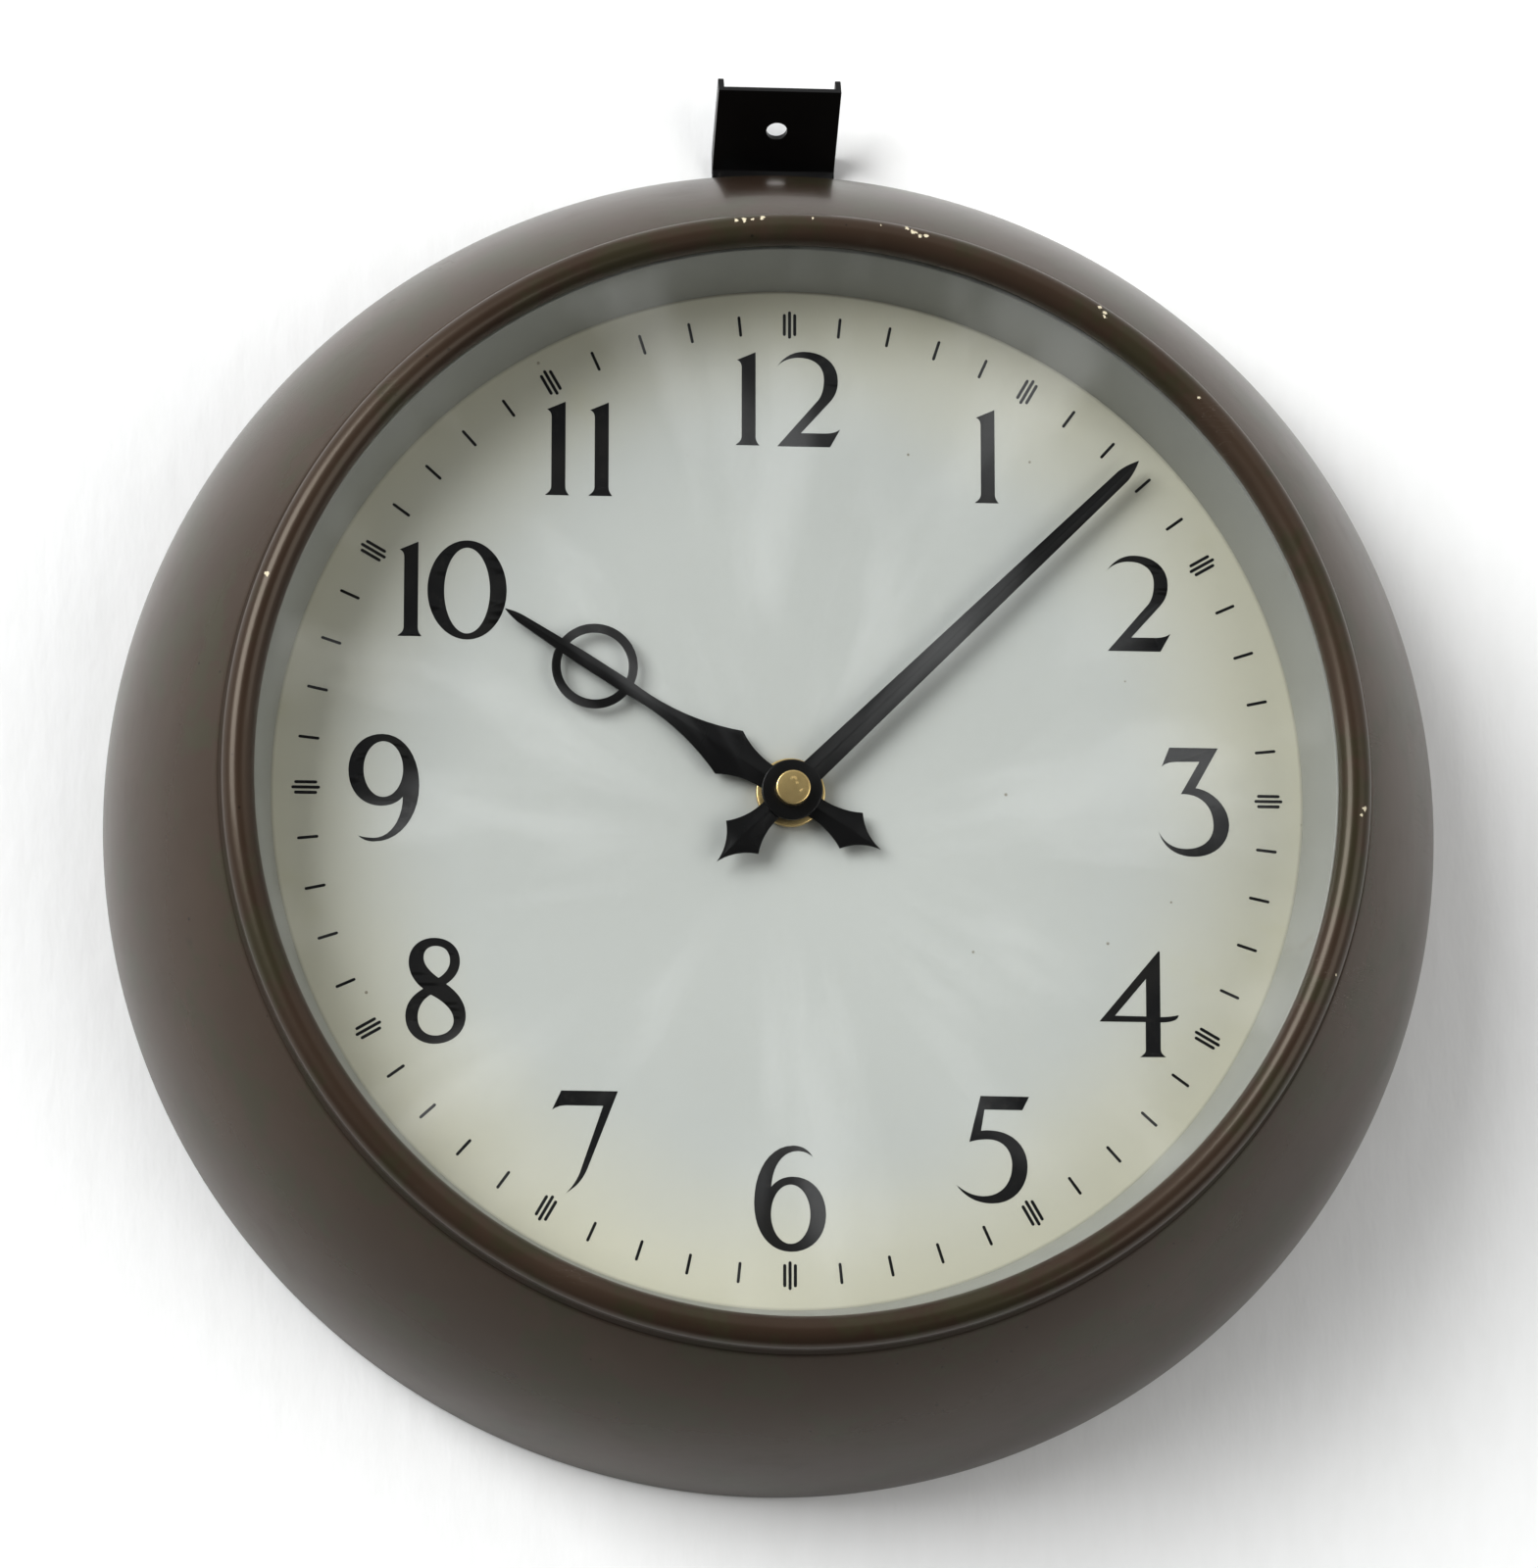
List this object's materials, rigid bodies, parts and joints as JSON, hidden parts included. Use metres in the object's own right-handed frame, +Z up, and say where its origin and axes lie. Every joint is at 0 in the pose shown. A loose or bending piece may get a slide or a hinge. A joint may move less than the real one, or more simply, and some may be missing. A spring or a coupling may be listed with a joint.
{
  "type": "wall clock",
  "caption": "Round wall-hung secondary clock: domed brown steel case with a beaded glazed bezel, cream dial, ring hour hand, impulse movement and a top hanging lug.",
  "frame": {"origin": "centre of the wall plane, on the axis of the dial", "axes": "+X to the right as seen by the reader, +Y into the wall, +Z up towards twelve; the dial faces -Y"},
  "size_m": [0.318, 0.0787, 0.3387],
  "materials": {
    "case_paint": "brown semi-gloss enamel, worn",
    "black_paint": "black enamel, satin",
    "glass": "clear flat glass",
    "ring_paint": "pale grey satin paint",
    "dial_paint": "cream paint, yellowed with age",
    "brass": "turned, lacquered",
    "zinc_steel": "zinc plated, dull",
    "polished_steel": "ground and polished",
    "spring_steel": "blued spring steel",
    "iron": "soft iron, nickel flashed",
    "phenolic": "dark brown moulding",
    "copper_wire": "enamelled copper wire under lacquered cloth",
    "wire_cover": "insulated hook-up wire",
    "rubber": "black rubber, aged"
  },
  "bodies": {
    "case": {"case_shell": "case_paint", "back_plate": "zinc_steel", "case_lugs": "zinc_steel", "back_screws": "zinc_steel", "hanging_lug": "black_paint", "lug_rivets": "black_paint", "cable_grommet": "rubber", "bezel": "case_paint", "bezel_clips": "spring_steel", "glass": "glass", "glass_gasket": "rubber", "sight_ring": "ring_paint", "dial": "dial_paint", "dial_feet": "brass", "dial_posts": "zinc_steel", "dial_set_screws": "zinc_steel", "dial_post_screws": "zinc_steel", "rear_plate": "brass", "front_plate": "brass", "movement_posts": "zinc_steel", "movement_post_screws": "zinc_steel", "pillars": "brass", "pillar_screws": "zinc_steel", "arbor_bushes": "brass", "minute_wheel_stud": "polished_steel", "stud_collar": "brass", "coil_cores": "iron", "yoke": "iron", "yoke_screws": "zinc_steel", "bobbins": "phenolic", "windings": "copper_wire", "click_arbor": "polished_steel", "click_spring": "spring_steel", "return_spring": "spring_steel", "banking_bracket": "brass", "terminal_block": "phenolic", "terminal_block_screws": "zinc_steel", "terminal_screws": "brass", "coil_leads": "wire_cover"},
    "minute_arbor": {"centre_arbor": "polished_steel", "arbor_collar": "brass", "ratchet_wheel": "brass", "cannon_pinion": "polished_steel", "minute_hand": "black_paint", "minute_boss": "black_paint", "hand_nut": "brass"},
    "minute_wheel": {"minute_wheel": "brass"},
    "hour_pipe": {"hour_wheel": "brass", "hour_collet": "brass", "hour_hand": "black_paint"},
    "armature": {"armature": "iron", "armature_arbor": "polished_steel", "pawl_stud": "polished_steel", "pawl_spring": "spring_steel"},
    "drive_pawl": {"drive_pawl": "polished_steel"},
    "backstop_click": {"backstop_click": "polished_steel"}
  },
  "joints": [
    {"name": "minute_turn", "type": "hinge", "parent": "case", "child": "minute_arbor", "pos_m": [0, -0.03, 0], "axis": [0, 1, 0], "continuous": true},
    {"name": "minute_wheel_turn", "type": "hinge", "parent": "case", "child": "minute_wheel", "pos_m": [0, -0.04, -0.015], "axis": [0, 1, 0], "continuous": true},
    {"name": "hour_turn", "type": "hinge", "parent": "case", "child": "hour_pipe", "pos_m": [0, -0.05, 0], "axis": [0, 1, 0], "continuous": true},
    {"name": "armature_swing", "type": "hinge", "parent": "case", "child": "armature", "pos_m": [0.032, -0.026, -0.027], "axis": [0, -1, 0], "range_deg": [0, 1.45], "stiffness_Nm_per_rad": 0.05, "springref_deg": -5.73, "deforming": ["return_spring"]},
    {"name": "drive_pawl_lift", "type": "hinge", "parent": "armature", "child": "drive_pawl", "pos_m": [0.032, -0.0245, 0.0265], "axis": [0, -1, 0], "range_deg": [-2, 0], "deforming": ["pawl_spring"]},
    {"name": "backstop_lift", "type": "hinge", "parent": "case", "child": "backstop_click", "pos_m": [-0.033, -0.0245, -0.018], "axis": [0, -1, 0], "range_deg": [-2.1, 2.5], "stiffness_Nm_per_rad": 0.003, "deforming": ["click_spring"]}
  ],
  "couplings": [
    {"joint": "minute_wheel_turn", "follows": "minute_turn", "ratio": -0.33333},
    {"joint": "hour_turn", "follows": "minute_turn", "ratio": 0.083333},
    {"joint": "drive_pawl_lift", "follows": "armature_swing", "ratio": -1.2}
  ]
}
